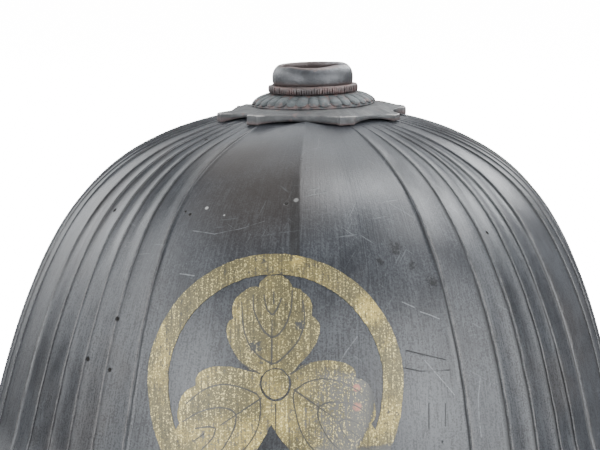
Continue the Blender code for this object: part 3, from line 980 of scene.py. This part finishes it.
def makeCrest():
    flat, brushed = [flatRing(), flatDisc()], []
    for number in range(crest["leaves"]):
        turn = 2 * pi * number / crest["leaves"]
        size, width = (crest["lowerLeaf"], crest["lowerLine"]) if number else (1, 1)
        flat.append(flatLeaf(turn, size, number))
        for vein in leafVeins:
            line = flatLine(vein, crest["lineWidth"] * width)
            line.data.transform(Matrix.Rotation(turn, 4, "Z") @ Matrix.Scale(size, 4))
            brushed.append(line)
    lift, thick = crest["lift"], crest["thick"]
    gold = layOnBowl(joined("crest", flat), "gold_crest", lift, thick, goldLacquer())
    veins = layOnBowl(joined("veins", brushed), "crest_veins", lift + thick / 2, thick / 2, darkLines())
    print("crest:", len(gold.data.polygons) + len(veins.data.polygons), "faces")
    return gold, veins


# Crown fitting: in millimetres, with heights above the outside of the crown, until it is seated

fitting = {
    "seat": Vector((bowl["lean"] * bowl["height"] + 0.4 * mm, 0, bowl["height"])),
    "roll": 1.6,      # degrees, right side up
    "pitch": 1.6,     # degrees, front up
    "seed": 4,
}

# radius and height round each ring's section, and how much it is rubbed there, and dented on a lip
ringSection = ((12.35, 8.5, 0), (12.9, 8.5, 0), (13.2, 8.75, 0), (13.3, 9.3, 0.05), (13.38, 10.2, 0.15),
               (13.34, 11.2, 0.3), (13.15, 12.2, 0.5), (12.75, 13.2, 0.75), (12.1, 14.1, 0.95),
               (11.5, 14.65, 1), (11.0, 14.88, 1), (10.6, 14.85, 1), (10.3, 14.6, 0.9), (10.15, 14.1, 0.7),
               (10.2, 13.4, 0.4), (10.45, 12.5, 0.2), (10.6, 11.5, 0), (10.6, 6.0, 0), (10.6, 0.0, 0),
               (10.6, -3.6, 0), (10.75, -4.6, 0), (11.2, -5.3, 0), (12.0, -5.5, 0), (15.8, -5.5, 0),
               (16.0, -5.3, 0), (16.0, -4.75, 0), (15.8, -4.55, 0), (13.0, -4.5, 0), (12.4, -4.1, 0),
               (12.3, -3.4, 0), (12.3, 2.0, 0))
collarSection = ((12.6, 8.25, 0), (13.8, 8.3, 0), (14.25, 8.15, 0.5), (14.5, 7.8, 1), (14.55, 7.4, 1),
                 (14.35, 6.9, 0.5), (14.2, 6.6, 0.2), (14.1, 5.9, 0), (13.7, 5.7, 0), (12.6, 5.7, 0))
petalBedSection = ((12.6, 5.5, 0), (14.2, 5.6, 0), (15.0, 5.4, 0), (17.0, 4.6, 0), (19.0, 3.4, 0),
                   (19.9, 2.6, 0), (20.3, 2.1, 0), (20.3, 1.75, 0), (20.0, 1.65, 0), (12.6, 1.65, 0))

# each ring's section, columns round it, and unevenness
rings = {
    "crownRing": (ringSection, 160, 0.07),
    "collarBed": (collarSection, 180, 0.05),
    "petalBed": (petalBedSection, 96, 0.08),
}


# dents in the crown ring's lip: depth, azimuth, and degrees from there to its end and to its full depth
Dent = namedtuple("Dent", "depth azimuth end full")
lipDents = (Dent(0.50, 2, 46, 8), Dent(0.22, -62, 30, 0))


def dented(azimuth):
    azimuth = (azimuth + 180) % 360 - 180
    return sum(dent.depth * ease(abs(azimuth - dent.azimuth), dent.end, dent.full) for dent in lipDents)


def turnedRing(name, kind, lip=False):  # a lip is dented, and rubbed more on its left
    section, columns, uneven = rings[kind]
    count = len(section)

    def point(column, row):
        radius, height, amount = section[row % count]
        turn = 360 * column / columns
        place = around(radius, turn, height)
        shake = noise.noise_vector(place / 3.0) * uneven
        shake += noise.noise_vector(place / 0.9) * uneven * 0.3
        if lip:
            place.z -= amount * dented(turn)
        return place + shake

    def rub(column, row):
        share = 0.55 + 0.45 * sin(radians(360 * column / columns - 10)) if lip else 1
        return section[row % count][2] * share

    return loft(name, columns, count, point, rub=rub)


petal = {
    "count": 32,
    "spread": 0.08,        # unevenness of their places, as a share of one petal's width
    "inner": 14.0,
    "outer": 20.5,
    "grid": (12, 9),
    "roundEnds": (0.18, 0.62),  # shares of its length between which a petal has its full section
    "width": 1.14,         # beside its share of the ring, so neighbours overlap
    "thick": 0.52,
    "thicker": 0.34,       # and at the tip that much more
    "height": 5.0,
    "fall": 2.6,
}


def onePetal():
    columns, rows = petal["grid"]
    first, last = petal["roundEnds"]

    def shape(row):
        share = 0.5 - 0.5 * cos(pi * row / rows)
        radius = petal["inner"] + (petal["outer"] - petal["inner"]) * share
        end = max(1 - max((share - last) / (1 - last), 0) ** 2.4, 0) ** 0.5
        start = max(1 - max((first - share) / first, 0) ** 2, 0) ** 0.5
        return share, radius, end * start

    def point(column, row):
        share, radius, full = shape(row)
        turn = 2 * pi * column / columns
        half = pi * radius / petal["count"] * petal["width"] * full
        thick = (petal["thick"] + petal["thicker"] * share) * full
        height = petal["height"] - petal["fall"] * share ** 1.7
        return Vector((half * cos(turn), -radius, height + thick * sin(turn)))

    def top(column, row):
        return max(sin(2 * pi * column / columns), 0) * shape(row)[2]

    return loft("petal", columns, rows, point, rub=top)


# one tooth of the milled collar: radius, height and half width round its section
Rib = namedtuple("Rib", "radius height half")
tooth = {
    "count": 108,
    "spread": 0.1,
    "rub": 0.6,
    "section": (Rib(13.8, 5.75, 0.34), Rib(14.55, 5.9, 0.29), Rib(14.78, 6.3, 0.27), Rib(14.82, 7.4, 0.27),
                Rib(14.6, 8.0, 0.30), Rib(13.8, 8.05, 0.34)),
}


def oneTooth():
    section = tooth["section"]

    def point(column, row):
        rib = section[column % len(section)]
        return Vector((rib.half * (row * 2 - 1), -rib.radius, rib.height))
    made = loft("tooth", len(section), 1, point, rub=lambda column, row: tooth["rub"])
    return finished(made, 50, lambda bm: bmesh.ops.holes_fill(bm, edges=bm.edges))


# a bed and the copies that stand on it
def copiesInARing(bed, name, copy, settings, mat):
    g = Shape("copiesInARing", {"Copy": copy, "Copies": settings["count"], "Spread": settings["spread"],
                                "Seed": fitting["seed"], "Material": mat})
    points = g.add("GeometryNodePoints", None, {"Count": g.get("Copies")})
    index = g.add("GeometryNodeInputIndex")
    stray = g.random(-1.0, 1.0, g.get("Seed")) * g.get("Spread")
    size = g.random(-1.0, 1.0, g.get("Seed") + 1) * g.get("Spread") * 0.12 + 1  # varies much less
    turn = (index + stray) * (2 * pi / settings["count"])
    rotation = g.add("FunctionNodeEulerToRotation", None, [g.join(0.0, 0.0, turn)])
    copies = g.add("GeometryNodeInstanceOnPoints", None,
                   {"Points": points, "Instance": g.shapeOf("Copy"), "Rotation": rotation,
                    "Scale": g.join(size, size, size)})
    join = g.tree.nodes.new("GeometryNodeJoinGeometry")
    for part in (copies, g.get("Geometry")):
        g.tree.links.new(part.socket, join.inputs[0])
    g.finish(Wire(g, join.outputs[0]), g.get("Material"))
    piece = g.bake(bed, name)
    bpy.data.objects.remove(copy)
    return piece


# base plate: cut by hand, so its corners differ; flat is half of a corner's flat end in degrees
Corner = namedtuple("Corner", "azimuth flat radius height")
plateCorners = (
    Corner(-162, 5.0, 29.0, -0.3), Corner(-122, 5.0, 27.6, -0.5), Corner(-72, 5.0, 32.4, -0.2),
    Corner(-40.5, 3.6, 30.2, 0.9), Corner(22, 6.0, 28.2, 0.9), Corner(66, 4.5, 29.4, -0.2),
    Corner(106, 5.0, 30.9, 0.1), Corner(144, 5.0, 29.8, 0.0),
)
basePlate = {
    "columns": 320,
    "sleeve": 12.9,
    "hollow": 26.4,       # radius of the rim between corners
    "level": 1.6,
    "levelShare": 0.48,   # share of the way out where the top starts to fall to the rim
    "standOff": 0.35,
    "arch": 0.6,
    "tab": 0.75,           # how far the corners' ends stand out
    "uneven": 0.22,
}

# share of the way out, inset from there, whether it is on top, how far it lies under the top or over
# the underside, and how much it is rubbed
PlateRow = namedtuple("PlateRow", "out inset top drop rub")
plateRows = [PlateRow(*row) for row in (
    (0, 0, 1, 0.3, 0), (0, 0, 0, 0.3, 0), (0.5, 0, 0, 0, 0), (0.93, 0, 0, 0, 0), (1, 0.25, 0, 0, 0.2),
    (1, 0.04, 0, 0.25, 0.3), (1, 0, 0, 0.9, 0), (1, 0.03, 1, 0.55, 0.2), (1, 0.08, 1, 0.28, 1),
    (1, 0.30, 1, 0.06, 1), (1, 0.6, 1, 0, 0.5), (0.9, 0, 1, 0, 0.1), (0.78, 0, 1, 0, 0),
    (0.62, 0, 1, 0, 0), (0.48, 0, 1, 0, 0), (0.2, 0, 1, 0, 0),
)]


def crownDepth(radius):  # millimetres below the crown, near it
    low, high = 0.0, 1.0
    first, last = outlineKnots[:2]
    handles = (0, first.after, last.radius - last.before * sin(radians(last.lean)), last.radius)
    drops = (0, 0, last.depth - last.before * cos(radians(last.lean)), last.depth)

    def along(numbers, t):
        a, b, c, d = numbers
        return (a * (1 - t) ** 3 + b * 3 * (1 - t) ** 2 * t + c * 3 * (1 - t) * t * t + d * t ** 3)
    for _ in range(30):
        middle = (low + high) / 2
        low, high = (middle, high) if along(handles, middle) < radius else (low, middle)
    return along(drops, low)


def plateRim(azimuth):
    for last, corner in zip(plateCorners[-1:] + plateCorners[:-1], plateCorners):
        side = (corner.azimuth - last.azimuth) % 360
        past = (azimuth - last.azimuth) % 360
        if past <= side:
            break
    share = past / side
    radius = last.radius + (corner.radius - last.radius) * share
    height = last.height + (corner.height - last.height) * share
    length = side - last.flat - corner.flat
    between = min(max((past - last.flat) / length, 0), 1)
    hollow = (1 - (2 * between - 1) ** 2) ** 0.85
    tab = 0 if last.flat < past < side - corner.flat else basePlate["tab"]
    return radius + (basePlate["hollow"] - radius) * hollow + tab, height, hollow


def makeBasePlate(name):
    columns, sleeve = basePlate["columns"], basePlate["sleeve"]

    def point(column, row):
        part = plateRows[row % len(plateRows)]
        azimuth = 360 * column / columns
        rim, height, hollow = plateRim(azimuth)
        radius = sleeve + (rim - sleeve) * part.out - part.inset
        flat = around(radius, azimuth, 0)
        level = (basePlate["level"] + flat.x * tan(radians(fitting["roll"]))
                 - flat.y * tan(radians(fitting["pitch"])))
        bend = ease(part.out, basePlate["levelShare"], 1)
        wave = noise.noise(flat / 3.1) + noise.noise(flat / 1.1) * 0.4
        flat += noise.noise_vector(flat / 2.3) * basePlate["uneven"] * part.out
        under = basePlate["standOff"] + basePlate["arch"] * hollow * bend - crownDepth(radius)
        top = level + (height - level) * bend + wave * basePlate["uneven"] * bend
        flat.z = top - part.drop if part.top else under + part.drop
        return flat

    def rub(column, row):  # most at the corners
        hollow = plateRim(360 * column / columns)[2]
        return plateRows[row % len(plateRows)].rub * (1 - 0.8 * hollow)

    return loft(name, columns, len(plateRows), point, rub=rub)


Patina = namedtuple("Patina", "dark middle rubbed red redShare roughness bump")
patinas = {
    "brown": Patina((0.044, 0.045, 0.047), (0.078, 0.078, 0.077), (0.26, 0.245, 0.235),
                    (0.14, 0.095, 0.088), 0.2, 0.50, 0.3),
    "blue": Patina((0.028, 0.032, 0.034), (0.050, 0.058, 0.060), (0.085, 0.097, 0.10),
                   (0.12, 0.075, 0.068), 0.3, 0.56, 0.7),
    "red": Patina((0.072, 0.058, 0.056), (0.105, 0.080, 0.076), (0.135, 0.100, 0.092),
                  (0.13, 0.066, 0.057), 0.5, 0.52, 0.3),
    "grey": Patina((0.032, 0.033, 0.036), (0.062, 0.064, 0.070), (0.17, 0.18, 0.195),
                   (0.10, 0.066, 0.058), 0.1, 0.36, 0.3),
}
paintedSideShade = (0.024, 0.025, 0.028)  # painted shade on faces that don't look up


def copper(name, red=None):  # red gives a mask of the places that are always red
    patina = patinas[name]
    mat, g, where = surface(name + "Copper")
    patch = g.cloud(where, 260, 5.0, 0.65, 0.4)
    fine = g.cloud(where, 1400, 4.0, 0.7)
    colour = g.blend(g.smooth(patch, 0.32, 0.66), patina.dark, patina.middle)
    few, many = 0.66 - patina.redShare * 0.4, 0.76 - patina.redShare * 0.3
    reds = g.smooth(g.cloud(where, 330, 4.0, 0.6), few, many)
    colour = g.blend(reds * 0.8, colour, patina.red)
    if red:
        colour = g.blend(red(g, where, fine), colour, patina.red)
    _, _, up = g.split(g.add("ShaderNodeNewGeometry", None, None, out="Normal"))
    # painted shade: faces that don't look up are darker
    colour = g.blend(g.smooth(up, 0.75, 0.2) * 0.5, colour, paintedSideShade)
    worn = g.smooth(g.attribute("rub") * 0.5 + fine * 0.4 + patch * 0.4, 0.66, 0.98)
    colour = g.blend(worn * 0.85, colour, patina.rubbed)
    rough = patina.roughness + (fine - 0.5) * 0.25 - worn * 0.08
    height = (patch - 0.5) * patina.bump + (fine - 0.5) * 0.12
    coat(g, {"Base Color": colour, "Roughness": rough, "Metallic": 0.35}, height)
    return mat


# red copper in the bore, at the foot of the crown ring and on top of its lip
def insideRing(g, where, fine):
    x, y, z = g.split(where)
    x = x - fitting["seat"].x
    away = (x * x + y * y).do("SQRT")
    bore = g.smooth(away + (fine - 0.5) * 0.8 * mm, 11.9 * mm, 11.0 * mm)
    seat = fitting["seat"].z
    foot = g.smooth(z + (fine - 0.5) * 2.0 * mm, seat + 10.4 * mm, seat + 8.8 * mm)
    return most(bore * 0.8, foot * 0.85)


# and in some of the grooves between petals
def someGrooves(g, where, fine):
    some = g.smooth(g.cloud(where, 420, 2.0), 0.48, 0.60)
    return g.smooth(g.attribute("rub") + (fine - 0.5) * 0.4, 0.35, 0.05) * some * 0.8


# and low on the base plate
def underRim(g, where, fine):
    _, _, z = g.split(where)
    seat = fitting["seat"].z
    return g.smooth(z + (fine - 0.5) * 1.2 * mm, seat - 0.9 * mm, seat - 1.9 * mm) * 0.7


def seated(piece, tilted=True):
    lean = Euler((-radians(fitting["pitch"]), -radians(fitting["roll"]), 0)).to_matrix().to_4x4()
    turn = lean if tilted else Matrix.Identity(4)
    piece.data.transform(Matrix.Translation(fitting["seat"]) @ turn @ Matrix.Scale(mm, 4))
    piece.data.shade_smooth()
    piece.data.set_sharp_from_angle(angle=radians(50))
    return piece


def makeFitting():
    plate = makeBasePlate("cut_base_plate")
    plate.data.materials.append(copper("brown", underRim))
    petals = copiesInARing(turnedRing("bed", "petalBed"), "petals", onePetal(), petal,
                           copper("blue", someGrooves))
    collar = copiesInARing(turnedRing("bed", "collarBed"), "toothed_collar", oneTooth(), tooth,
                           copper("red"))
    ring = turnedRing("dented_ring", "crownRing", lip=True)
    ring.data.materials.append(copper("grey", insideRing))
    pieces = [seated(plate, tilted=False), seated(petals), seated(collar), seated(ring)]
    print("fitting:", sum(len(piece.data.polygons) for piece in pieces), "faces")
    return pieces


def show(piece, slot, *nodes):
    for node in nodes:
        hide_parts(node)
    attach(piece, "root")


makeStudio()
shell = makeBowl(blackLacquer())
show(shell, "black_lacquer", "bowl")
goldCrest, crestVeins = makeCrest()
show(goldCrest, "gold_lacquer")
show(crestVeins, "black_lacquer")
basePlatePiece, petalPiece, collarPiece, ringPiece = makeFitting()
show(basePlatePiece, "brown_copper", "base_plate")
show(petalPiece, "blue_copper", "petal_ring")
show(collarPiece, "red_copper", "milled_collar")
show(ringPiece, "grey_copper", "crown_ring")
